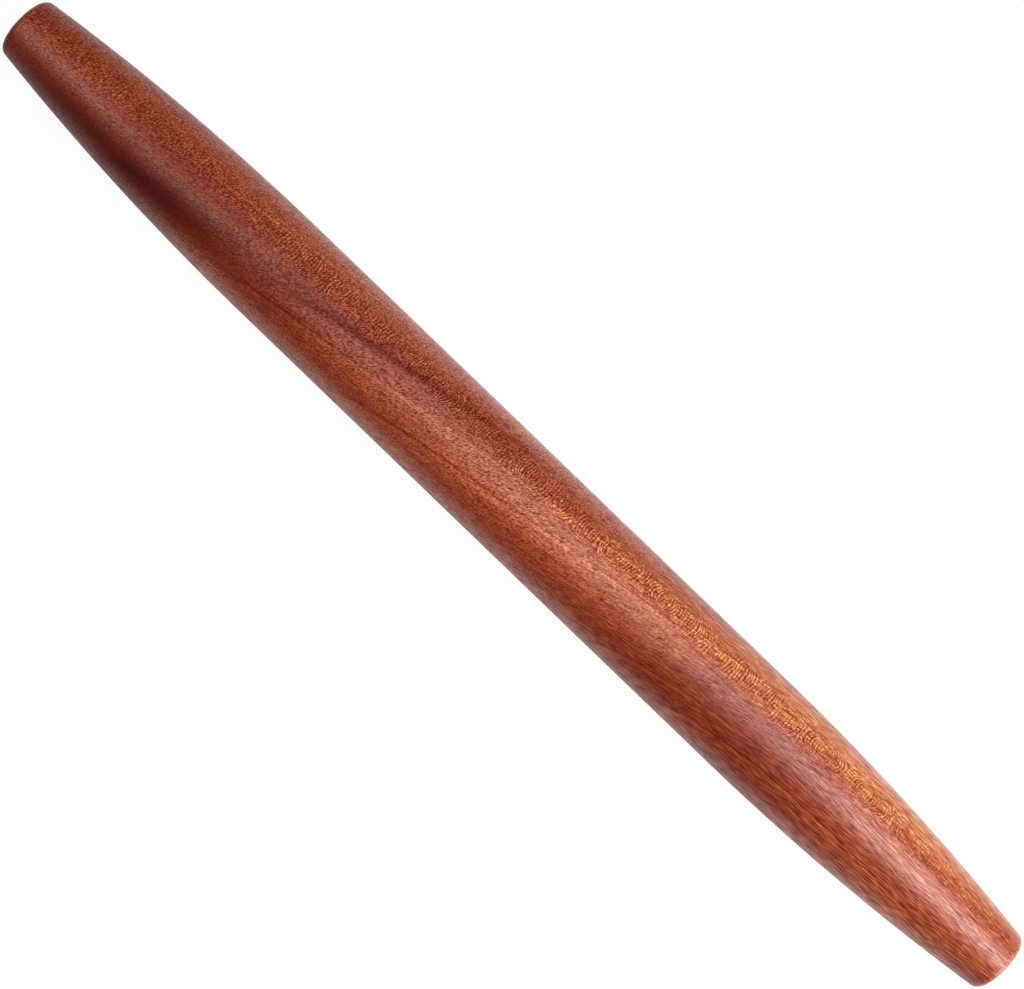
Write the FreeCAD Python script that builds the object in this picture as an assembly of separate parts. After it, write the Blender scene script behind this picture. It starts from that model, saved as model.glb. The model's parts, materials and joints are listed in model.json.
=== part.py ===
import FreeCAD, Part
import math
import os

# French rolling pin, turned from one length of hardwood.
# A straight barrel runs into two slender tapers that end in flat faces with rounded edges.
# The turning axis lies along X, and the origin is the middle of the pin, on that axis.

# Driving dimensions, in millimetres
PIN_LENGTH = 400.0
BARREL_DIAMETER = 33.8
BARREL_LENGTH = 192.6
END_DIAMETER = 20.1
END_EDGE_RADIUS = 2.4

# Sizes that follow from them
HALF_LENGTH = PIN_LENGTH / 2
BARREL_RADIUS = BARREL_DIAMETER / 2
BARREL_HALF_LENGTH = BARREL_LENGTH / 2
TAPER_RUN = HALF_LENGTH - BARREL_HALF_LENGTH
TAPER_DROP = BARREL_RADIUS - END_DIAMETER / 2

# The taper is one arc that leaves the barrel without a corner and meets the end face at the end's diameter.
TAPER_RADIUS = (TAPER_RUN**2 + TAPER_DROP**2) / (2 * TAPER_DROP)
TAPER_CENTRE_HEIGHT = BARREL_RADIUS - TAPER_RADIUS

# The rounded edge touches the end face and the inside of the taper's circle.
EDGE_CENTRE_ALONG = HALF_LENGTH - END_EDGE_RADIUS
EDGE_CENTRE_HEIGHT = TAPER_CENTRE_HEIGHT + math.sqrt(
    (TAPER_RADIUS - END_EDGE_RADIUS) ** 2 - (EDGE_CENTRE_ALONG - BARREL_HALF_LENGTH) ** 2
)
EDGE_START_ANGLE = math.atan2(
    EDGE_CENTRE_HEIGHT - TAPER_CENTRE_HEIGHT, EDGE_CENTRE_ALONG - BARREL_HALF_LENGTH
)


def outline_point(along, height, side):
    """A point of the outline: its distance from the middle, its height above the axis, and its end."""
    return FreeCAD.Vector(side * along, 0.0, height)


def outline_arc(centre_along, centre_height, radius, start_angle, end_angle, side):
    """An arc of the outline, with its angles measured from the axis towards the outside."""
    points = []
    for angle in (start_angle, (start_angle + end_angle) / 2, end_angle):
        along = centre_along + radius * math.cos(angle)
        height = centre_height + radius * math.sin(angle)
        points.append(outline_point(along, height, side))
    return Part.Arc(*points).toShape()


def line(start, end):
    return Part.LineSegment(start, end).toShape()


def end_outline(side):
    """One end of the pin from the barrel outwards: the taper, the rounded edge and the end face."""
    taper = outline_arc(
        BARREL_HALF_LENGTH, TAPER_CENTRE_HEIGHT, TAPER_RADIUS, math.pi / 2, EDGE_START_ANGLE, side
    )
    edge = outline_arc(EDGE_CENTRE_ALONG, EDGE_CENTRE_HEIGHT, END_EDGE_RADIUS, EDGE_START_ANGLE, 0.0, side)
    face = line(
        outline_point(HALF_LENGTH, EDGE_CENTRE_HEIGHT, side),
        outline_point(HALF_LENGTH, 0.0, side),
    )
    return [taper, edge, face]


def make_turned_pin():
    """The whole pin: its half outline turned once about the axis."""
    barrel = line(
        outline_point(BARREL_HALF_LENGTH, BARREL_RADIUS, -1),
        outline_point(BARREL_HALF_LENGTH, BARREL_RADIUS, 1),
    )
    axis_line = line(outline_point(HALF_LENGTH, 0.0, 1), outline_point(HALF_LENGTH, 0.0, -1))
    far_end = end_outline(1)
    near_end = end_outline(-1)
    outline = Part.Wire([barrel, *far_end, axis_line, *reversed(near_end)])
    return Part.Face(outline).revolve(FreeCAD.Vector(0, 0, 0), FreeCAD.Vector(1, 0, 0), 360)


turned_pin = make_turned_pin()

os.makedirs("parts", exist_ok=True)
turned_pin.exportStep("parts/turned_pin.step")
print(f"turned_pin: taper radius {TAPER_RADIUS:.1f} mm, volume {turned_pin.Volume / 1000:.1f} cm3")
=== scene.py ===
import json
import math

import bpy
from mathutils import Matrix, Vector


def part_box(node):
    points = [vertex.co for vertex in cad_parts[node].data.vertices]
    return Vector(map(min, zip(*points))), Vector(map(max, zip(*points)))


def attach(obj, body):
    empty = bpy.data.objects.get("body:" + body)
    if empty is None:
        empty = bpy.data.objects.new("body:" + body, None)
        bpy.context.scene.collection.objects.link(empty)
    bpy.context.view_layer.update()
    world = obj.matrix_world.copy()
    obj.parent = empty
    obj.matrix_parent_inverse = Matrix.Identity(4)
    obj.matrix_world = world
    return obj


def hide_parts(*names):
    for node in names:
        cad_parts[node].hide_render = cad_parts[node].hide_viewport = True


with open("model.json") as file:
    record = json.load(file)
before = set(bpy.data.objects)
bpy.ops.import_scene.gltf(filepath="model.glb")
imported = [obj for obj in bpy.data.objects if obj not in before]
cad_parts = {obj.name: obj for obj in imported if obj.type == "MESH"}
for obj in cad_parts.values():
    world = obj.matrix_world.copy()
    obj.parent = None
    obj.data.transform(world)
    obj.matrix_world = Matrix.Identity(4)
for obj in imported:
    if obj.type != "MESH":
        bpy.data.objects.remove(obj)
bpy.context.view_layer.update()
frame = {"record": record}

# Sizes of the pin, in metres. The frame gives its length and its barrel.
MM = 0.001
NODE = "turned_pin"
BARREL = next(mount["dims"] for mount in frame["record"]["mounts"] if mount["name"] == "barrel")
PIN_LOW, PIN_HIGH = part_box(NODE)
HALF_LENGTH = (PIN_HIGH.x - PIN_LOW.x) / 2
BARREL_RADIUS = BARREL["r_mm"] * MM
BARREL_HALF_LENGTH = BARREL["length_mm"] * MM / 2
END_RADIUS = 20.1 * MM / 2
END_EDGE_RADIUS = 2.4 * MM
MIDDLE = (0.0, 0.0, 0.0)
LEFT_END = (-HALF_LENGTH, 0.0, 0.0)
RIGHT_END = (HALF_LENGTH, 0.0, 0.0)

# How finely the turned surface is divided
SEGMENTS_AROUND = 192
BARREL_STEPS = 48
TAPER_STEPS = 60
EDGE_STEPS = 10
END_FACE_STEPS = 8

# Where the unrolled surface lies on the unit square: a strip for each half, and two end discs
MAP_MARGIN = 0.006
STRIP_HEIGHT = 0.455
DISC_RADIUS = 0.033

# The camera looks straight down, turned so that the pin crosses the picture from corner to corner.
CAMERA_HEIGHT = 0.709
PICTURE_WIDTH_AT_AXIS = 0.3026
PIN_TURN = math.radians(43.925)
PICTURE_RIGHT = Vector((math.cos(PIN_TURN), math.sin(PIN_TURN), 0.0))
PICTURE_UP = Vector((-math.sin(PIN_TURN), math.cos(PIN_TURN), 0.0))
OVERHEAD = Vector((0.0, 0.0, 1.0))

# Soft studio light: a key from the right of the picture, a long strip overhead, a glow at each end,
# a lamp on the right end's edge, floor paper with painted shade, and a room that is dim above
KEY_PLACE = 0.55 * PICTURE_RIGHT + 0.85 * OVERHEAD
KEY_SIZE = (0.5, 0.5)
KEY_POWER = 3.2
STRIP_PLACE = 2.0 * OVERHEAD - 0.10 * PICTURE_RIGHT
STRIP_SIZE = (4.0, 0.26)
STRIP_POWER = 18.5
RIGHT_GLOW_PLACE = 0.69 * PICTURE_RIGHT - 0.44 * PICTURE_UP + 0.92 * OVERHEAD
RIGHT_GLOW_POWER = 13.5
LEFT_GLOW_PLACE = -0.62 * PICTURE_RIGHT + 0.37 * PICTURE_UP + 0.89 * OVERHEAD
LEFT_GLOW_POWER = 1.6
GLOW_SIZE = (0.5, 0.5)
EDGE_LAMP_PLACE = Vector((0.95, 0.0, 0.12))
EDGE_LAMP_SIZE = (0.3, 0.2)
EDGE_LAMP_POWER = 5.0
# Painted shade on the floor paper: palest beside the pin on its +Y side, darker on its -Y side,
# towards the left end and far away
FLOOR_PAINTED_LIGHT_ACROSS = [(-0.25, 0.10), (-0.04, 0.70), (0.04, 0.95), (0.25, 0.16)]
FLOOR_PAINTED_SHADE_LEFT = (-0.22, -0.02)
FLOOR_PAINTED_SHADE_LEFT_LEVEL = 0.82
PAPER_TO_CAMERA = 0.85
FLOOR_HALF_WIDTH = 20.0
WHITE_FLOOR = 0.95
WHITE_ROOM = 0.95
WHITE_TO_REFLECTIONS = 0.045
WALL_TOP = (0.0, 0.16)
WALL_LEVELS = (0.0, 1.0)
CEILING_LEVELS = (0.035, 0.10)

# The wood, in millimetres. Sheets of interlocked grain cross the pin on a slant, lean over,
# and run straight along it towards the right end. Over the stretch of the wrap, fine fibres
# come to follow the turned surface.
GRAIN_SLOPE = 0.155
GRAIN_DRIFT = 0.012
GRAIN_LEAN = 0.47
GRAIN_STRAIGHT_FROM = 100.0
GRAIN_EASE = 40.0
GRAIN_SWAY = [(-200.0, 1.0), (20.0, 1.2), (50.0, 2.2), (90.0, 2.2), (125.0, 0.6), (200.0, 0.4)]
GRAIN_SWAY_CELL = (70.0, 25.0, 25.0)
GRAIN_WRAP = (0.0, 80.0)
NEAR_AXIS = 1.0

# Ribbons: place across the grain, and how light the wood is there
RIBBONS = [
    (-45.0, 0.95),
    (-31.0, 1.00),
    (-25.0, 0.93),
    (-21.0, 0.88),
    (-18.0, 0.79),
    (-15.5, 0.77),
    (-12.8, 0.76),
    (-10.5, 0.81),
    (-8.0, 0.83),
    (-5.8, 0.92),
    (-5.0, 1.03),
    (2.0, 1.08),
    (4.5, 1.10),
    (6.5, 1.04),
    (10.0, 0.95),
    (16.0, 0.86),
    (30.0, 0.95),
    (45.0, 1.00),
]
RIGHT_RIBBON = [
    (6.5, 0.0),
    (10.0, 0.17),
    (14.0, 0.32),
    (22.0, 0.32),
    (25.0, 0.18),
    (26.0, 0.3),
    (28.0, 0.34),
    (31.0, 0.1),
]
RIGHT_RIBBON_ALONG = [
    (25.0, 0.0),
    (55.0, 0.55),
    (75.0, 0.95),
    (90.0, 1.05),
    (115.0, 1.0),
    (140.0, 0.5),
    (200.0, 0.5),
]

# Dark streaks and thin lines, each from one place (along the pin, across the grain) to another,
# with its reach to either side, how dark it is, and how pale the ridge below it is
GRAIN_LINES = [
    ((-155.0, -16.2), (-45.0, -13.2), 3.8, 0.19, 0.0),
    ((-105.0, -11.3), (10.0, -16.3), 2.4, 0.30, 0.0),
    ((-190.0, -18.0), (-120.0, -17.0), 1.6, 0.15, 0.0),
    ((-115.0, -9.1), (-50.0, -5.8), 0.42, 0.34, 0.22),
    ((-80.0, -6.6), (70.0, -4.8), 0.5, 0.10, 0.20),
    ((-66.0, 0.4), (10.0, 3.3), 0.42, 0.34, 0.20),
    ((-20.0, 3.0), (80.0, 3.7), 0.6, 0.16, 0.20),
    ((45.0, 1.4), (120.0, 0.8), 0.34, 0.26, 0.28),
    ((40.0, -7.2), (115.0, -7.2), 0.34, 0.20, 0.25),
    ((-150.0, -28.9), (-45.0, -29.1), 0.4, 0.18, 0.2),
    ((-150.0, -27.2), (-60.0, -27.2), 0.5, 0.25, 0.0),
    ((20.0, 10.6), (75.0, 11.2), 0.34, 0.2, 0.25),
    ((35.0, 18.9), (130.0, 18.2), 0.34, 0.3, 0.25),
    ((60.0, 22.9), (190.0, 22.4), 0.34, 0.3, 0.25),
]
GRAIN_LINE_RIDGE = 1.5
GRAIN_LINE_FADE = 22.0

# The figured band: along a line that winds slowly round the pin the growth layers lie flat to
# the surface, and there the wavy grain shows as fine arcs across that line.
BAND_TILT = math.radians(29.0)
BAND_TWIST = math.radians(0.033)
BAND_CORE = 0.11
BAND_REACH = [(-200.0, 0.32), (80.0, 0.32), (110.0, 0.42), (150.0, 0.42), (200.0, 0.34)]
BAND_DEPTH = (-4.0, 4.0)
BAND_UNDERNEATH = 0.3
ARC_STEP = 1.0
ARC_UNEVEN = 0.6
ARC_UNEVEN_CELL = 2.0
ARC_BEND = 0.6
ARC_BEND_CELL = 9.0
ARC_WANDER = 1.6
ARC_WANDER_CELL = (9.0, 4.0, 4.0)
ARC_BREAK = 0.5
ARC_BREAK_CELL = (2.2, 0.8, 0.8)
ARC_PATCH_CELL = (5.0, 3.0, 3.0)
ARC_PATCH_LEVELS = (0.25, 1.0)
DASH_CELL = (1.2, 0.7, 0.7)
DASH_LEVELS = (0.4, 1.0)
DASH_LIMITS = (0.35, 0.6)
ARC_STRENGTH = [
    (-200.0, 0.2),
    (-110.0, 0.4),
    (-80.0, 0.65),
    (-30.0, 0.7),
    (10.0, 0.6),
    (140.0, 0.55),
    (155.0, 0.4),
    (170.0, 0.2),
    (200.0, 0.08),
]
BAND_PEBBLES = [(-200.0, 1.0), (-100.0, 0.7), (0.0, 0.4), (90.0, 0.6), (200.0, 0.6)]
FLECK_CELL = (1.5, 0.42, 0.42)
FLECK_STRENGTH = [(-200.0, 0.2), (-60.0, 0.25), (10.0, 0.55), (60.0, 0.85), (200.0, 0.8)]

# Broad light and dark: along the pin, lighter towards the right end; from side to side, painted shade
# on the -Y flank and painted rim light on both rims; and in patches. Each patch has its share along
# the pin, its share from side to side, and how dark it is, or how light where that is below 0.
TONE_ALONG = [
    (-200.0, 0.27),
    (-150.0, 0.285),
    (-110.0, 0.29),
    (60.0, 0.40),
    (110.0, 0.44),
    (150.0, 0.47),
    (170.0, 0.47),
    (200.0, 0.425),
]
# Painted shade and light from side to side: darker on the -Y flank and a little under the sheen,
# painted rim light at both rims
PAINTED_SHADE_AND_RIM_LIGHT_ACROSS = [
    (-14.5, 1.03),
    (-12.0, 0.73),
    (-7.0, 0.82),
    (-1.0, 0.96),
    (3.0, 0.93),
    (7.0, 0.96),
    (9.0, 1.0),
    (12.0, 1.03),
    (14.5, 1.13),
]
PATCHES = [
    (
        [(-195.0, 0.45), (-170.0, 0.95), (-150.0, 1.0), (-130.0, 1.0), (-115.0, 0.55), (-95.0, 0.0)],
        [(-13.0, 0.2), (-11.5, 0.5), (-9.5, 1.0), (-7.0, 1.0), (-4.0, 0.6), (-1.0, 0.1), (1.0, 0.0)],
        0.46,
    ),
    (
        [(-170.0, 0.0), (-145.0, 0.8), (-125.0, 1.0), (-105.0, 0.5), (-80.0, 0.0)],
        [(-5.0, 0.3), (-2.0, 1.0), (2.0, 1.0), (5.0, 0.5), (9.0, 0.0)],
        0.2,
    ),
    (
        [(-185.0, 0.5), (-150.0, 0.1), (-125.0, 0.6), (-110.0, 1.0), (-95.0, 0.3), (-80.0, 0.0)],
        [(-15.0, 1.0), (-11.5, 1.0), (-8.5, 0.0)],
        -0.45,
    ),
    (
        [(60.0, 0.0), (95.0, 0.8), (110.0, 1.0), (150.0, 1.0), (175.0, 0.3), (190.0, 0.0)],
        [(-11.0, 0.0), (-9.0, 0.2), (-6.5, 0.4), (-4.0, 1.0), (-2.0, 0.7), (0.0, 0.0)],
        0.13,
    ),
    (
        [(140.0, 0.0), (165.0, 0.8), (195.0, 1.0)],
        [(4.0, 0.0), (6.5, 1.0), (9.0, 1.0), (11.0, 0.0)],
        0.18,
    ),
    # Painted light: the -Y rim near the right end is lightened as light from below
    (
        [(140.0, 0.0), (165.0, 0.7), (195.0, 1.0)],
        [(-15.0, 1.0), (-11.0, 0.8), (-9.0, 0.0)],
        -0.4,
    ),
    (
        [(-200.0, 1.0), (-40.0, 1.0), (10.0, 0.0)],
        [(2.0, 0.0), (4.5, 1.0), (8.5, 1.0), (11.0, 0.0)],
        0.045,
    ),
]

# Fine grain: grain sizes along, across and through the wood, and how strong each is along the pin
# and from side to side
PEBBLE_SLOPE = 0.5
PEBBLE_CELL = (0.8, 0.36, 0.38)
PEBBLE_STRENGTH = [
    (-200.0, 1.3),
    (-110.0, 1.45),
    (-60.0, 1.6),
    (0.0, 1.4),
    (50.0, 0.9),
    (90.0, 0.5),
    (200.0, 0.3),
]
PEBBLE_ACROSS = [(-13.0, 0.6), (-10.0, 0.75), (-7.0, 0.9), (-3.0, 1.0), (14.0, 1.0)]
FIBRE_CELL = (3.4, 0.27, 1.2)
FIBRE_STRENGTH = [
    (-200.0, 0.3),
    (-60.0, 0.35),
    (0.0, 0.5),
    (40.0, 0.8),
    (110.0, 1.0),
    (200.0, 1.25),
]
FIBRE_ACROSS = [(-15.0, 1.0), (-6.0, 1.0), (-2.0, 0.75), (5.0, 0.65), (9.0, 0.9), (13.0, 0.85)]
RIB_STEP = 0.7
RIB_WANDER = 1.3
RIB_WANDER_CELL = (7.0, 0.7, 4.0)
RIB_DASH_CELL = (4.0, 0.5, 3.0)
RIB_DASH_LEVELS = (0.1, 1.0)
RIB_STRENGTH = [(0.0, 0.0), (40.0, 0.15), (80.0, 0.2), (110.0, 0.4), (140.0, 0.6), (200.0, 0.7)]
RIB_ACROSS = [
    (-15.0, 0.5),
    (-11.0, 0.9),
    (-5.0, 1.0),
    (-2.0, 0.4),
    (4.0, 0.3),
    (8.0, 0.5),
    (13.0, 0.3),
]
STREAK_CELL = (22.0, 0.5, 6.0)
STREAK_STRENGTH = [
    (-200.0, 0.1),
    (-60.0, 0.15),
    (20.0, 0.25),
    (70.0, 0.3),
    (100.0, 0.15),
    (120.0, 0.08),
]
BROAD_STREAK_CELL = (60.0, 2.2, 15.0)
BROAD_STREAK_STRENGTH = 0.07
CLOUD_CELL = (30.0, 5.0, 8.0)
CLOUD_STRENGTH = 0.07
PORE_CELL = (6.0, 0.22, 1.0)
PORE_LIMITS = (0.58, 0.7)
PORE_SHADE = [(-200.0, 0.85), (40.0, 0.85), (100.0, 0.72), (200.0, 0.66)]

# How far noise swings the tone about its middle, and the darkest that a grain gets
NOISE_MIDDLE = 0.5
SHADE_SWING = 2.0
SHADE_FLOOR = 0.4

# The end grain is darker and takes up the oil. Elsewhere the oil lies on the raised grain, and is thin
# in the hollows.
# Less oil on the -Y flank is painted shade in its gloss.
END_FACE = (0.85, 0.99)
END_SHADE = 0.45
OIL_LIMITS = (0.55, 1.45)
OIL_COAT = (0.0, 1.0)
OIL_WITH_PAINTED_SHADE_ACROSS = [
    (-14.0, 0.9),
    (-11.0, 0.65),
    (-5.0, 0.75),
    (-1.0, 1.0),
    (4.0, 1.0),
    (8.0, 0.95),
    (14.0, 1.0),
]
OIL_ROUGHNESS = 0.42
OIL_IOR = 1.6
BARE_GLOSS = 0.2
ROUGHNESS = (0.55, 0.4)
RELIEF_SHARE = 0.5
RELIEF_LIMITS = (0.2, 0.8)
RELIEF = 0.05 * MM

# From dark to light the wood goes from deep red to orange.
WOOD_COLOURS = [
    (0.00, (0.0, 0.0, 0.0)),
    (0.10, (0.088, 0.0052, 0.0008)),
    (0.25, (0.22, 0.030, 0.0072)),
    (0.45, (0.396, 0.095, 0.0295)),
    (0.65, (0.572, 0.204, 0.068)),
    (1.00, (0.88, 0.49, 0.18)),
]


def half_outline():
    """Half of the turned outline, from the middle of the barrel to the middle of the end face."""
    run = HALF_LENGTH - BARREL_HALF_LENGTH
    drop = BARREL_RADIUS - END_RADIUS
    taper_radius = (run**2 + drop**2) / (2 * drop)
    taper_centre = BARREL_RADIUS - taper_radius
    edge_along = HALF_LENGTH - END_EDGE_RADIUS
    reach = taper_radius - END_EDGE_RADIUS
    edge_centre = taper_centre + math.sqrt(reach**2 - (edge_along - BARREL_HALF_LENGTH) ** 2)
    edge_angle = math.atan2(edge_centre - taper_centre, edge_along - BARREL_HALF_LENGTH)
    points = []
    for step in range(BARREL_STEPS):
        points.append((BARREL_HALF_LENGTH * step / BARREL_STEPS, BARREL_RADIUS))
    for step in range(TAPER_STEPS):
        angle = math.pi / 2 + (edge_angle - math.pi / 2) * step / TAPER_STEPS
        along = BARREL_HALF_LENGTH + taper_radius * math.cos(angle)
        points.append((along, taper_centre + taper_radius * math.sin(angle)))
    for step in range(EDGE_STEPS):
        angle = edge_angle * (1 - step / EDGE_STEPS)
        along = edge_along + END_EDGE_RADIUS * math.cos(angle)
        points.append((along, edge_centre + END_EDGE_RADIUS * math.sin(angle)))
    for step in range(END_FACE_STEPS):
        points.append((HALF_LENGTH, edge_centre * (1 - step / END_FACE_STEPS)))
    return points


def outline_lengths(points):
    """How far along the outline each point lies."""
    lengths = [0.0]
    for start, end in zip(points, points[1:]):
        lengths.append(lengths[-1] + math.dist(start, end))
    return lengths


def make_pin():
    """The turned surface, with the strips of its own map."""
    half = half_outline()
    lengths = outline_lengths(half)
    rim = len(half) - END_FACE_STEPS
    rings = [(-along, radius) for along, radius in reversed(half[1:])] + half
    middle = len(half) - 1
    vertices = []
    for along, radius in rings:
        for segment in range(SEGMENTS_AROUND):
            angle = 2 * math.pi * segment / SEGMENTS_AROUND
            vertices.append((along, radius * math.sin(angle), -radius * math.cos(angle)))
    first_pole = len(vertices)
    vertices.extend((LEFT_END, RIGHT_END))

    def strip_place(side, step, turn):
        across = MAP_MARGIN + side * (STRIP_HEIGHT + MAP_MARGIN) + turn * STRIP_HEIGHT
        along = MAP_MARGIN + (1 - 2 * MAP_MARGIN) * lengths[step] / lengths[rim]
        return along, across

    def disc_place(side, radius, turn):
        centre_along = MAP_MARGIN + DISC_RADIUS + side * (2 * DISC_RADIUS + MAP_MARGIN)
        centre_across = 2 * STRIP_HEIGHT + 3 * MAP_MARGIN + DISC_RADIUS
        share = DISC_RADIUS * radius / half[rim][1]
        angle = 2 * math.pi * turn
        return centre_along + share * math.cos(angle), centre_across + share * math.sin(angle)

    faces = []
    places = []
    for ring in range(len(rings) - 1):
        side = 0 if ring < middle else 1
        steps = (abs(ring - middle), abs(ring + 1 - middle))
        on_disc = min(steps) >= rim
        for segment in range(SEGMENTS_AROUND):
            after = (segment + 1) % SEGMENTS_AROUND
            faces.append(
                (
                    ring * SEGMENTS_AROUND + segment,
                    (ring + 1) * SEGMENTS_AROUND + segment,
                    (ring + 1) * SEGMENTS_AROUND + after,
                    ring * SEGMENTS_AROUND + after,
                )
            )
            for step, corner in ((0, 0), (1, 0), (1, 1), (0, 1)):
                turn = (segment + corner) / SEGMENTS_AROUND
                if on_disc:
                    places.append(disc_place(side, rings[ring + step][1], turn))
                else:
                    places.append(strip_place(side, steps[step], turn))
    for side, ring in ((0, 0), (1, len(rings) - 1)):
        for segment in range(SEGMENTS_AROUND):
            after = (segment + 1) % SEGMENTS_AROUND
            corners = [ring * SEGMENTS_AROUND + segment, ring * SEGMENTS_AROUND + after]
            turns = [segment / SEGMENTS_AROUND, (segment + 1) / SEGMENTS_AROUND]
            if side == 1:
                corners.reverse()
                turns.reverse()
            faces.append((first_pole + side, *corners))
            places.append(disc_place(side, 0.0, 0.0))
            places.extend(disc_place(side, rings[ring][1], turn) for turn in turns)

    mesh = bpy.data.meshes.new("turned_wood")
    mesh.from_pydata(vertices, [], faces)
    surface_map = mesh.uv_layers.new(name="OFBake")
    for corner, place in zip(surface_map.data, places):
        corner.uv = place
    mesh.polygons.foreach_set("use_smooth", [True] * len(mesh.polygons))
    mesh.update()
    pin = bpy.data.objects.new("turned_wood", mesh)
    bpy.context.scene.collection.objects.link(pin)
    return pin


class NodeBuilder:
    """Adds nodes to one tree. A call gives back the new node's output, ready for the next call."""

    def __init__(self, tree):
        self.tree = tree

    def feed(self, socket, value):
        """Link an output to a socket, or set a plain value on it."""
        if isinstance(value, bpy.types.NodeSocket):
            self.tree.links.new(value, socket)
        else:
            socket.default_value = value

    def math(self, operation, *values):
        node = self.tree.nodes.new("ShaderNodeMath")
        node.operation = operation
        for socket, value in zip(node.inputs, values):
            self.feed(socket, value)
        return node.outputs[0]

    def add(self, *values):
        total = values[0]
        for value in values[1:]:
            total = self.math("ADD", total, value)
        return total

    def multiply(self, *values):
        product = values[0]
        for value in values[1:]:
            product = self.math("MULTIPLY", product, value)
        return product

    def scaled(self, vector, factors):
        """A vector with each of its parts multiplied by a factor."""
        node = self.tree.nodes.new("ShaderNodeVectorMath")
        node.operation = "MULTIPLY"
        self.feed(node.inputs[0], vector)
        self.feed(node.inputs[1], factors)
        return node.outputs[0]

    def split(self, vector):
        node = self.tree.nodes.new("ShaderNodeSeparateXYZ")
        self.feed(node.inputs[0], vector)
        return node.outputs

    def join(self, *parts):
        node = self.tree.nodes.new("ShaderNodeCombineXYZ")
        for socket, part in zip(node.inputs, parts):
            self.feed(socket, part)
        return node.outputs[0]

    def turn_about_x(self, vector, angle):
        node = self.tree.nodes.new("ShaderNodeVectorRotate")
        node.rotation_type = "X_AXIS"
        self.feed(node.inputs["Vector"], vector)
        self.feed(node.inputs["Angle"], angle)
        return node.outputs[0]

    def noise(self, place, cell, detail=0.0):
        """Cloudy noise from 0 to 1, with grains about as large as the cell in each direction."""
        node = self.tree.nodes.new("ShaderNodeTexNoise")
        self.feed(node.inputs["Vector"], self.scaled(place, [1 / size for size in cell]))
        node.inputs["Scale"].default_value = 1.0
        node.inputs["Detail"].default_value = detail
        return node.outputs["Fac"]

    def noise_along(self, value, cell):
        """Noise from 0 to 1 that changes with one value only."""
        node = self.tree.nodes.new("ShaderNodeTexNoise")
        node.noise_dimensions = "1D"
        self.feed(node.inputs["W"], self.multiply(value, 1 / cell))
        node.inputs["Scale"].default_value = 1.0
        node.inputs["Detail"].default_value = 0.0
        return node.outputs["Fac"]

    def centred(self, noise):
        """Noise that swings about 0."""
        return self.math("SUBTRACT", noise, NOISE_MIDDLE)

    def sideways(self, side, height):
        """How far to the side of the turning axis a place lies, as a share of its distance from it."""
        squares = self.add(self.multiply(side, side), self.multiply(height, height))
        distance = self.math("MAXIMUM", self.math("SQRT", squares), NEAR_AXIS)
        return self.math("DIVIDE", side, distance)

    def remap(self, value, old, new, interpolation="LINEAR"):
        """Carry a value from one span to another, held at the ends."""
        node = self.tree.nodes.new("ShaderNodeMapRange")
        node.interpolation_type = interpolation
        self.feed(node.inputs["Value"], value)
        for name, limit in zip(("From Min", "From Max", "To Min", "To Max"), (*old, *new)):
            self.feed(node.inputs[name], limit)
        return node.outputs["Result"]

    def ramp(self, value, stops):
        """A colour for a value between 0 and 1, from a few stops."""
        node = self.tree.nodes.new("ShaderNodeValToRGB")
        self.feed(node.inputs["Fac"], value)
        node.color_ramp.interpolation = "LINEAR"
        elements = node.color_ramp.elements
        for position, colour in stops[1:-1]:
            elements.new(position).color = (*colour, 1)
        elements[0].position, elements[0].color = stops[0][0], (*stops[0][1], 1)
        elements[-1].position, elements[-1].color = stops[-1][0], (*stops[-1][1], 1)
        return node.outputs["Color"]

    def profile(self, value, stops):
        """A number that follows a few stops along a value, straight between them, held at the ends."""
        low, high = stops[0][0], stops[-1][0]
        top = max(level for _, level in stops)
        shades = [((place - low) / (high - low), (level / top,) * 3) for place, level in stops]
        return self.multiply(self.ramp(self.remap(value, (low, high), (0.0, 1.0)), shades), top)

    def bump(self, height, distance):
        node = self.tree.nodes.new("ShaderNodeBump")
        self.feed(node.inputs["Height"], height)
        self.feed(node.inputs["Distance"], distance)
        return node.outputs["Normal"]


def make_group(name, inputs, outputs):
    """An empty shader node group with named sockets: its builder, its inputs and its outputs."""
    tree = bpy.data.node_groups.new(name, "ShaderNodeTree")
    for socket_name, kind in inputs:
        tree.interface.new_socket(socket_name, in_out="INPUT", socket_type=kind)
    for socket_name, kind in outputs:
        tree.interface.new_socket(socket_name, in_out="OUTPUT", socket_type=kind)
    entry = tree.nodes.new("NodeGroupInput")
    result = tree.nodes.new("NodeGroupOutput")
    return NodeBuilder(tree), entry.outputs, result.inputs


def use_group(nodes, group, **values):
    """Place a group in a tree with its own values, and give back its outputs."""
    node = nodes.tree.nodes.new("ShaderNodeGroup")
    node.node_tree = group
    for name, value in values.items():
        nodes.feed(node.inputs[name], value)
    return node.outputs


VECTOR = "NodeSocketVector"
NUMBER = "NodeSocketFloat"


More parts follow.
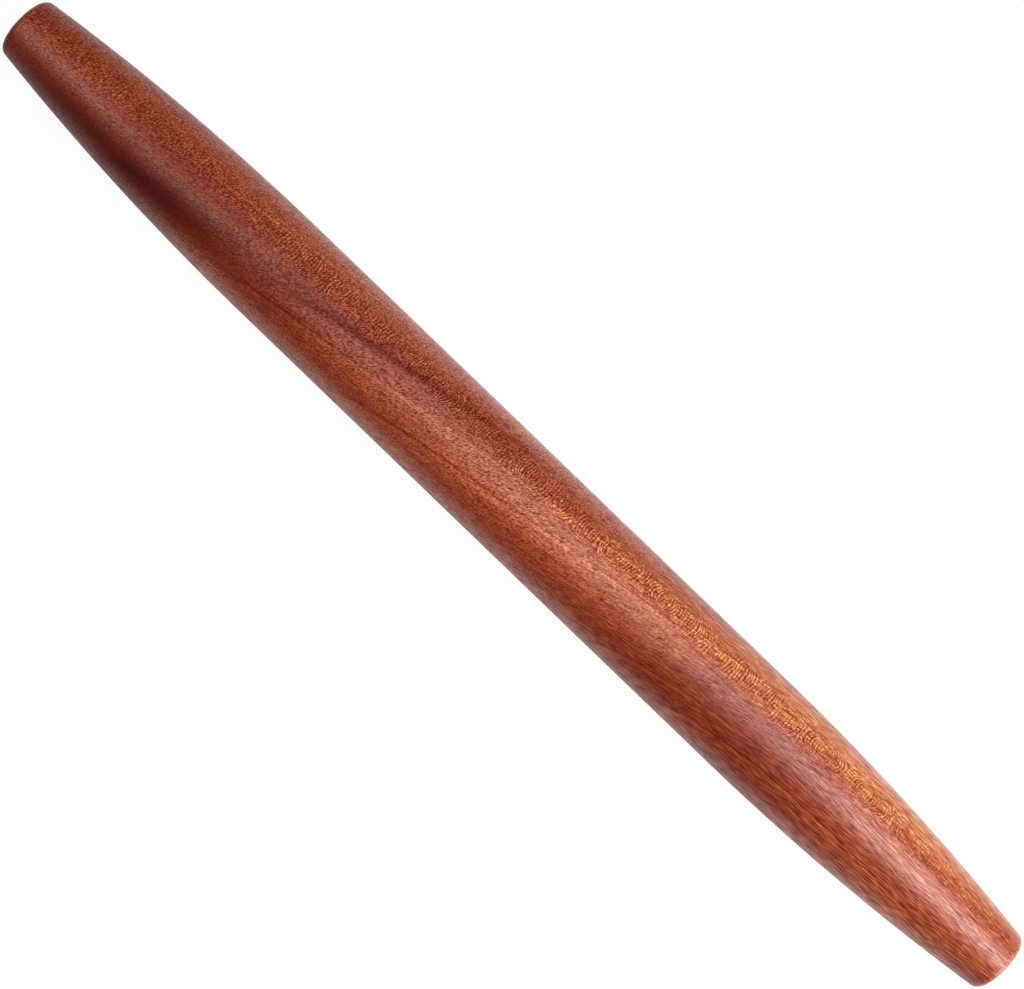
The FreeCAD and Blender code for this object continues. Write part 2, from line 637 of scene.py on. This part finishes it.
def grain_group():
    """Where a place lies: across the leaning sheets, around the turned surface, and how deep."""
    nodes, given, result = make_group(
        "grain_place",
        [("Place", VECTOR)],
        [("Across", NUMBER), ("Around", NUMBER), ("Depth", NUMBER)],
    )
    along, side, height = nodes.split(given["Place"])
    eased = nodes.math("SMOOTH_MIN", along, GRAIN_STRAIGHT_FROM, GRAIN_EASE)
    slant = nodes.add(nodes.multiply(eased, GRAIN_SLOPE), nodes.multiply(along, GRAIN_DRIFT))
    bend = nodes.noise(given["Place"], GRAIN_SWAY_CELL, detail=2.0)
    sway = nodes.multiply(nodes.centred(bend), nodes.profile(along, GRAIN_SWAY))
    lean = nodes.multiply(nodes.math("SUBTRACT", height, BARREL_RADIUS / MM), GRAIN_LEAN)
    nodes.feed(result["Across"], nodes.add(nodes.math("SUBTRACT", slant, side), lean, sway))
    turn = nodes.math("ARCSINE", nodes.sideways(side, height))
    arc = nodes.multiply(turn, BARREL_RADIUS / MM)
    wrapped = nodes.remap(along, GRAIN_WRAP, (0.0, 1.0), "SMOOTHSTEP")
    bowed = nodes.add(side, nodes.multiply(nodes.math("SUBTRACT", arc, side), wrapped))
    nodes.feed(result["Around"], nodes.add(nodes.math("SUBTRACT", slant, bowed), sway))
    nodes.feed(result["Depth"], nodes.add(height, nodes.multiply(side, GRAIN_LEAN)))
    return nodes.tree


def band_group():
    """The figured band: fine broken arcs across it, and how near a place is to its middle."""
    nodes, given, result = make_group(
        "figured_band", [("Place", VECTOR)], [("Arcs", NUMBER), ("Nearness", NUMBER)]
    )
    along = nodes.split(given["Place"])["X"]
    tilt = nodes.add(nodes.multiply(along, BAND_TWIST), BAND_TILT)
    place = nodes.turn_about_x(given["Place"], tilt)
    _, across, depth = nodes.split(place)
    squared = nodes.multiply(across, across)
    bend = nodes.multiply(nodes.centred(nodes.noise_along(along, ARC_BEND_CELL)), ARC_BEND)
    wander = nodes.multiply(nodes.noise(place, ARC_WANDER_CELL, detail=1.0), ARC_WANDER)
    breaks = nodes.multiply(nodes.noise(place, ARC_BREAK_CELL), ARC_BREAK)
    shifted = nodes.add(along, nodes.multiply(bend, squared), wander, breaks)
    uneven = nodes.multiply(nodes.noise_along(shifted, ARC_UNEVEN_CELL), ARC_UNEVEN)
    turns = nodes.add(nodes.multiply(shifted, 1 / ARC_STEP), uneven)
    arcs = nodes.math("SINE", nodes.multiply(turns, 2 * math.pi))
    dashes = nodes.remap(nodes.noise(place, DASH_CELL), DASH_LIMITS, DASH_LEVELS)
    patches = nodes.remap(nodes.noise(place, ARC_PATCH_CELL), DASH_LIMITS, ARC_PATCH_LEVELS)
    nodes.feed(result["Arcs"], nodes.multiply(arcs, dashes, patches))
    lean = nodes.math("ABSOLUTE", nodes.sideways(across, depth))
    upper = nodes.remap(depth, BAND_DEPTH, (BAND_UNDERNEATH, 1.0))
    reach = nodes.profile(along, BAND_REACH)
    nearness = nodes.remap(lean, (BAND_CORE, reach), (1.0, 0.0), "SMOOTHSTEP")
    nodes.feed(result["Nearness"], nodes.multiply(nearness, upper))
    return nodes.tree


def rib_group():
    """Thin broken lines along the grain, from 0 to 1."""
    nodes, given, result = make_group("ribs", [("Place", VECTOR)], [("Ribs", NUMBER)])
    wander = nodes.multiply(nodes.noise(given["Place"], RIB_WANDER_CELL, detail=1.0), RIB_WANDER)
    across = nodes.add(nodes.split(given["Place"])["Y"], wander)
    waves = nodes.math("SINE", nodes.multiply(across, 2 * math.pi / RIB_STEP))
    dashes = nodes.remap(nodes.noise(given["Place"], RIB_DASH_CELL), DASH_LIMITS, RIB_DASH_LEVELS)
    nodes.feed(result["Ribs"], nodes.remap(nodes.multiply(waves, dashes), (-1.0, 1.0), (0.0, 1.0)))
    return nodes.tree


def shading_group():
    """Turns noise from 0 to 1 into a factor about 1 for the wood's tone."""
    nodes, given, result = make_group(
        "shading", [("Noise", NUMBER), ("Strength", NUMBER)], [("Factor", NUMBER)]
    )
    swing = nodes.multiply(nodes.centred(given["Noise"]), given["Strength"], SHADE_SWING)
    nodes.feed(result["Factor"], nodes.math("MAXIMUM", nodes.add(swing, 1.0), SHADE_FLOOR))
    return nodes.tree


def grain_line_group():
    """A dark line that runs along the grain for a stretch, with a pale ridge below it."""
    names = ("Along", "Across", "Start", "End", "Start Across", "Slope", "Reach", "Dark", "Pale")
    inputs = [(name, NUMBER) for name in names]
    nodes, given, result = make_group("grain_line", inputs, [("Factor", NUMBER)])
    from_start = nodes.math("SUBTRACT", given["Along"], given["Start"])
    to_end = nodes.math("SUBTRACT", given["End"], given["Along"])
    line = nodes.add(nodes.multiply(from_start, given["Slope"]), given["Start Across"])
    offset = nodes.math("SUBTRACT", given["Across"], line)
    reach = (0.0, given["Reach"])
    dark = nodes.remap(nodes.math("ABSOLUTE", offset), reach, (given["Dark"], 0.0), "SMOOTHSTEP")
    ridge = nodes.multiply(given["Reach"], GRAIN_LINE_RIDGE)
    beside = nodes.math("ABSOLUTE", nodes.math("SUBTRACT", offset, ridge))
    pale = nodes.remap(beside, (0.0, ridge), (given["Pale"], 0.0), "SMOOTHSTEP")
    nearer_end = nodes.math("MINIMUM", from_start, to_end)
    stretch = nodes.remap(nearer_end, (0.0, GRAIN_LINE_FADE), (0.0, 1.0))
    shade = nodes.multiply(nodes.math("SUBTRACT", pale, dark), stretch)
    nodes.feed(result["Factor"], nodes.add(shade, 1.0))
    return nodes.tree


def make_wood():
    """Oiled red-brown hardwood with interlocked grain, a solid pattern in the pin's millimetres."""
    material = bpy.data.materials.new("oiled_hardwood")
    material.use_nodes = True
    nodes = NodeBuilder(material.node_tree)
    shader = material.node_tree.nodes["Principled BSDF"]
    coordinates = material.node_tree.nodes.new("ShaderNodeTexCoord")
    place = nodes.scaled(coordinates.outputs["Object"], (1 / MM, 1 / MM, 1 / MM))
    along, side, height = nodes.split(place)
    grain = use_group(nodes, grain_group(), Place=place)
    across = grain["Across"]
    band = use_group(nodes, band_group(), Place=place)
    shading = shading_group()
    grain_line = grain_line_group()

    def over_pin(stops_along, stops_across):
        """A number that follows stops along the pin and stops from side to side."""
        return nodes.multiply(nodes.profile(along, stops_along), nodes.profile(side, stops_across))

    # Broad light and dark, with painted shade and painted rim light from side to side
    ribbon_along = nodes.profile(along, RIGHT_RIBBON_ALONG)
    right_ribbon = nodes.multiply(nodes.profile(across, RIGHT_RIBBON), ribbon_along)
    dimming = []
    for stops_along, stops_across, dark in PATCHES:
        patch = nodes.multiply(over_pin(stops_along, stops_across), dark)
        dimming.append(nodes.math("SUBTRACT", 1.0, patch))
    unpatched = nodes.multiply(*dimming)
    facing = nodes.split(coordinates.outputs["Normal"])["X"]
    end_face = nodes.remap(nodes.math("ABSOLUTE", facing), END_FACE, (1.0, END_SHADE), "SMOOTHSTEP")
    broad = nodes.multiply(
        over_pin(TONE_ALONG, PAINTED_SHADE_AND_RIM_LIGHT_ACROSS),
        nodes.profile(across, RIBBONS),
        nodes.math("SUBTRACT", 1.0, right_ribbon),
        unpatched,
        end_face,
    )

    # Fine grain
    grain_place = nodes.join(along, across, grain["Depth"])
    slanted = nodes.math("SUBTRACT", nodes.multiply(along, PEBBLE_SLOPE), side)
    pebble_noise = nodes.noise(nodes.join(along, slanted, height), PEBBLE_CELL, detail=1.0)
    surface_place = nodes.join(along, grain["Around"], height)
    fibre_noise = nodes.noise(surface_place, FIBRE_CELL)
    ribs = use_group(nodes, rib_group(), Place=surface_place)["Ribs"]
    fibre_strength = nodes.multiply(over_pin(FIBRE_STRENGTH, FIBRE_ACROSS), unpatched)
    in_band = nodes.multiply(band["Nearness"], nodes.profile(along, BAND_PEBBLES))
    pebble_strength = nodes.multiply(
        over_pin(PEBBLE_STRENGTH, PEBBLE_ACROSS),
        nodes.add(in_band, 1.0),
        unpatched,
    )
    fleck_strength = nodes.multiply(nodes.profile(along, FLECK_STRENGTH), band["Nearness"])
    raised_grains = (
        (pebble_noise, pebble_strength),
        (nodes.noise(place, FLECK_CELL, detail=1.0), fleck_strength),
        (fibre_noise, fibre_strength),
        (ribs, over_pin(RIB_STRENGTH, RIB_ACROSS)),
    )
    long_grains = (
        (nodes.noise(grain_place, STREAK_CELL, detail=1.0), nodes.profile(along, STREAK_STRENGTH)),
        (nodes.noise(grain_place, BROAD_STREAK_CELL, detail=1.0), BROAD_STREAK_STRENGTH),
        (nodes.noise(grain_place, CLOUD_CELL, detail=1.0), CLOUD_STRENGTH),
    )

    def shades(grains):
        factors = []
        for noise, strength in grains:
            factors.append(use_group(nodes, shading, Noise=noise, Strength=strength)["Factor"])
        return factors

    lines = []
    for (start, start_across), (end, end_across), reach, dark, pale in GRAIN_LINES:
        slope = (end_across - start_across) / (end - start)
        run = {"Start": start, "End": end, "Start Across": start_across, "Slope": slope}
        levels = {"Reach": reach, "Dark": dark, "Pale": pale}
        line = use_group(nodes, grain_line, Along=along, Across=across, **run, **levels)
        lines.append(line["Factor"])
    pore_shade = nodes.profile(along, PORE_SHADE)
    pores = nodes.remap(nodes.noise(surface_place, PORE_CELL), PORE_LIMITS, (1.0, pore_shade))
    arc_strength = nodes.profile(along, ARC_STRENGTH)
    arcs = nodes.add(nodes.multiply(band["Arcs"], band["Nearness"], arc_strength), 1.0)
    raised = nodes.multiply(*shades(raised_grains), *lines, arcs)
    figure = nodes.multiply(*shades(long_grains), pores)
    tone = nodes.multiply(broad, figure, raised)
    nodes.feed(shader.inputs["Base Color"], nodes.ramp(tone, WOOD_COLOURS))

    # Satin oil over the grain
    relief = nodes.multiply(nodes.add(pebble_noise, fibre_noise), pores, RELIEF_SHARE)
    nodes.feed(shader.inputs["Roughness"], nodes.remap(relief, RELIEF_LIMITS, ROUGHNESS))
    # The oil's gloss carries painted shade: less of it on the -Y flank
    oil = nodes.multiply(
        nodes.remap(raised, OIL_LIMITS, OIL_COAT),
        nodes.profile(side, OIL_WITH_PAINTED_SHADE_ACROSS),
        unpatched,
        end_face,
    )
    nodes.feed(shader.inputs["Coat Weight"], oil)
    nodes.feed(shader.inputs["Normal"], nodes.bump(relief, RELIEF))
    shader.inputs["Specular IOR Level"].default_value = BARE_GLOSS
    shader.inputs["Coat Roughness"].default_value = OIL_ROUGHNESS
    shader.inputs["Coat IOR"].default_value = OIL_IOR
    return material


def ray_kinds(nodes):
    """Whether a ray comes from the camera, and whether it was reflected or passed through."""
    rays = nodes.tree.nodes.new("ShaderNodeLightPath").outputs
    reflected = nodes.math("MAXIMUM", rays["Is Glossy Ray"], rays["Is Transmission Ray"])
    return rays["Is Camera Ray"], reflected


def white_share(nodes, camera, to_camera, reflected):
    """How much plain white a ray meets."""
    seen = nodes.multiply(camera, to_camera)
    return nodes.math("MAXIMUM", seen, nodes.multiply(reflected, WHITE_TO_REFLECTIONS))


def make_floor(level):
    """A floor that stays white to the camera, apart from the pin's soft shadow. Its paper, seen in
    reflections and bounced light, has painted shade.
    """
    mesh = bpy.data.meshes.new("floor")
    reach = FLOOR_HALF_WIDTH
    corners = [(x * reach, y * reach, level) for x, y in ((-1, -1), (1, -1), (1, 1), (-1, 1))]
    mesh.from_pydata(corners, [], [(0, 1, 2, 3)])
    floor = bpy.data.objects.new("floor", mesh)
    bpy.context.scene.collection.objects.link(floor)
    material = bpy.data.materials.new("paper_with_painted_shade")
    material.use_nodes = True
    tree = material.node_tree
    shader = tree.nodes["Principled BSDF"]
    shader.inputs["Roughness"].default_value = 1.0
    shader.inputs["Specular IOR Level"].default_value = 0.0
    nodes = NodeBuilder(tree)
    place = tree.nodes.new("ShaderNodeTexCoord")
    along, side, _ = nodes.split(place.outputs["Object"])
    # Painted shade on the paper, seen in reflections and bounced light: darker to the -Y side, to the
    # left and far from the pin
    left = nodes.remap(along, FLOOR_PAINTED_SHADE_LEFT, (FLOOR_PAINTED_SHADE_LEFT_LEVEL, 1.0), "SMOOTHSTEP")
    paper = nodes.multiply(nodes.profile(side, FLOOR_PAINTED_LIGHT_ACROSS), left)
    camera, reflected = ray_kinds(nodes)
    paper_seen = nodes.math("MAXIMUM", paper, nodes.multiply(camera, PAPER_TO_CAMERA))
    nodes.feed(shader.inputs["Base Color"], paper_seen)
    share = white_share(nodes, camera, WHITE_FLOOR, reflected)
    white = tree.nodes.new("ShaderNodeEmission")
    white.inputs["Strength"].default_value = 1.0
    mix = tree.nodes.new("ShaderNodeMixShader")
    tree.links.new(share, mix.inputs["Fac"])
    tree.links.new(shader.outputs[0], mix.inputs[1])
    tree.links.new(white.outputs[0], mix.inputs[2])
    tree.links.new(mix.outputs[0], tree.nodes["Material Output"].inputs["Surface"])
    mesh.materials.append(material)


def make_world():
    """A white studio. Its light is a wall and a dim ceiling, brighter on the right of the picture."""
    world = bpy.data.worlds.new("studio")
    bpy.context.scene.world = world
    world.use_nodes = True
    tree = world.node_tree
    nodes = NodeBuilder(tree)
    direction = tree.nodes.new("ShaderNodeTexCoord")
    along, side, height = nodes.split(direction.outputs["Generated"])
    rightward = nodes.add(
        nodes.multiply(along, PICTURE_RIGHT.x), nodes.multiply(side, PICTURE_RIGHT.y)
    )
    wall = nodes.remap(rightward, (-1.0, 1.0), WALL_LEVELS)
    ceiling = nodes.remap(rightward, (-1.0, 1.0), CEILING_LEVELS)
    level = nodes.remap(height, WALL_TOP, (wall, ceiling), "SMOOTHSTEP")
    background = tree.nodes["Background"]
    background.inputs["Color"].default_value = (1, 1, 1, 1)
    camera, reflected = ray_kinds(nodes)
    white = white_share(nodes, camera, WHITE_ROOM, reflected)
    nodes.feed(background.inputs["Strength"], nodes.math("MAXIMUM", level, white))


def make_softbox(name, place, aim, upward, size, power):
    """A soft rectangular lamp aimed at a point, its first side square to the upward direction."""
    data = bpy.data.lights.new(name, "AREA")
    data.shape = "RECTANGLE"
    data.size, data.size_y = size
    data.energy = power
    lamp = bpy.data.objects.new(name, data)
    bpy.context.scene.collection.objects.link(lamp)
    back = (Vector(place) - Vector(aim)).normalized()
    along = Vector(upward).cross(back).normalized()
    turn = Matrix((along, back.cross(along), back)).transposed()
    lamp.matrix_world = Matrix.Translation(place) @ turn.to_4x4()


def make_camera():
    data = bpy.data.cameras.new("camera")
    data.lens = data.sensor_width * CAMERA_HEIGHT / PICTURE_WIDTH_AT_AXIS
    camera = bpy.data.objects.new("camera", data)
    bpy.context.scene.collection.objects.link(camera)
    camera.location = (0.0, 0.0, CAMERA_HEIGHT)
    camera.rotation_euler = (0.0, 0.0, PIN_TURN)
    bpy.context.scene.camera = camera


pin = make_pin()
pin.data.materials.append(make_wood())
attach(pin, "root")
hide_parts(NODE)
make_floor(PIN_LOW.z)
make_world()
make_softbox("key_softbox", KEY_PLACE, MIDDLE, PICTURE_UP, KEY_SIZE, KEY_POWER)
make_softbox("overhead_strip", STRIP_PLACE, MIDDLE, PICTURE_UP, STRIP_SIZE, STRIP_POWER)
make_softbox("right_end_glow", RIGHT_GLOW_PLACE, RIGHT_END, PICTURE_UP, GLOW_SIZE, RIGHT_GLOW_POWER)
make_softbox("right_edge_lamp", EDGE_LAMP_PLACE, RIGHT_END, OVERHEAD, EDGE_LAMP_SIZE, EDGE_LAMP_POWER)
make_softbox("left_end_glow", LEFT_GLOW_PLACE, LEFT_END, PICTURE_UP, GLOW_SIZE, LEFT_GLOW_POWER)
make_camera()
bpy.context.scene.view_settings.view_transform = "Standard"
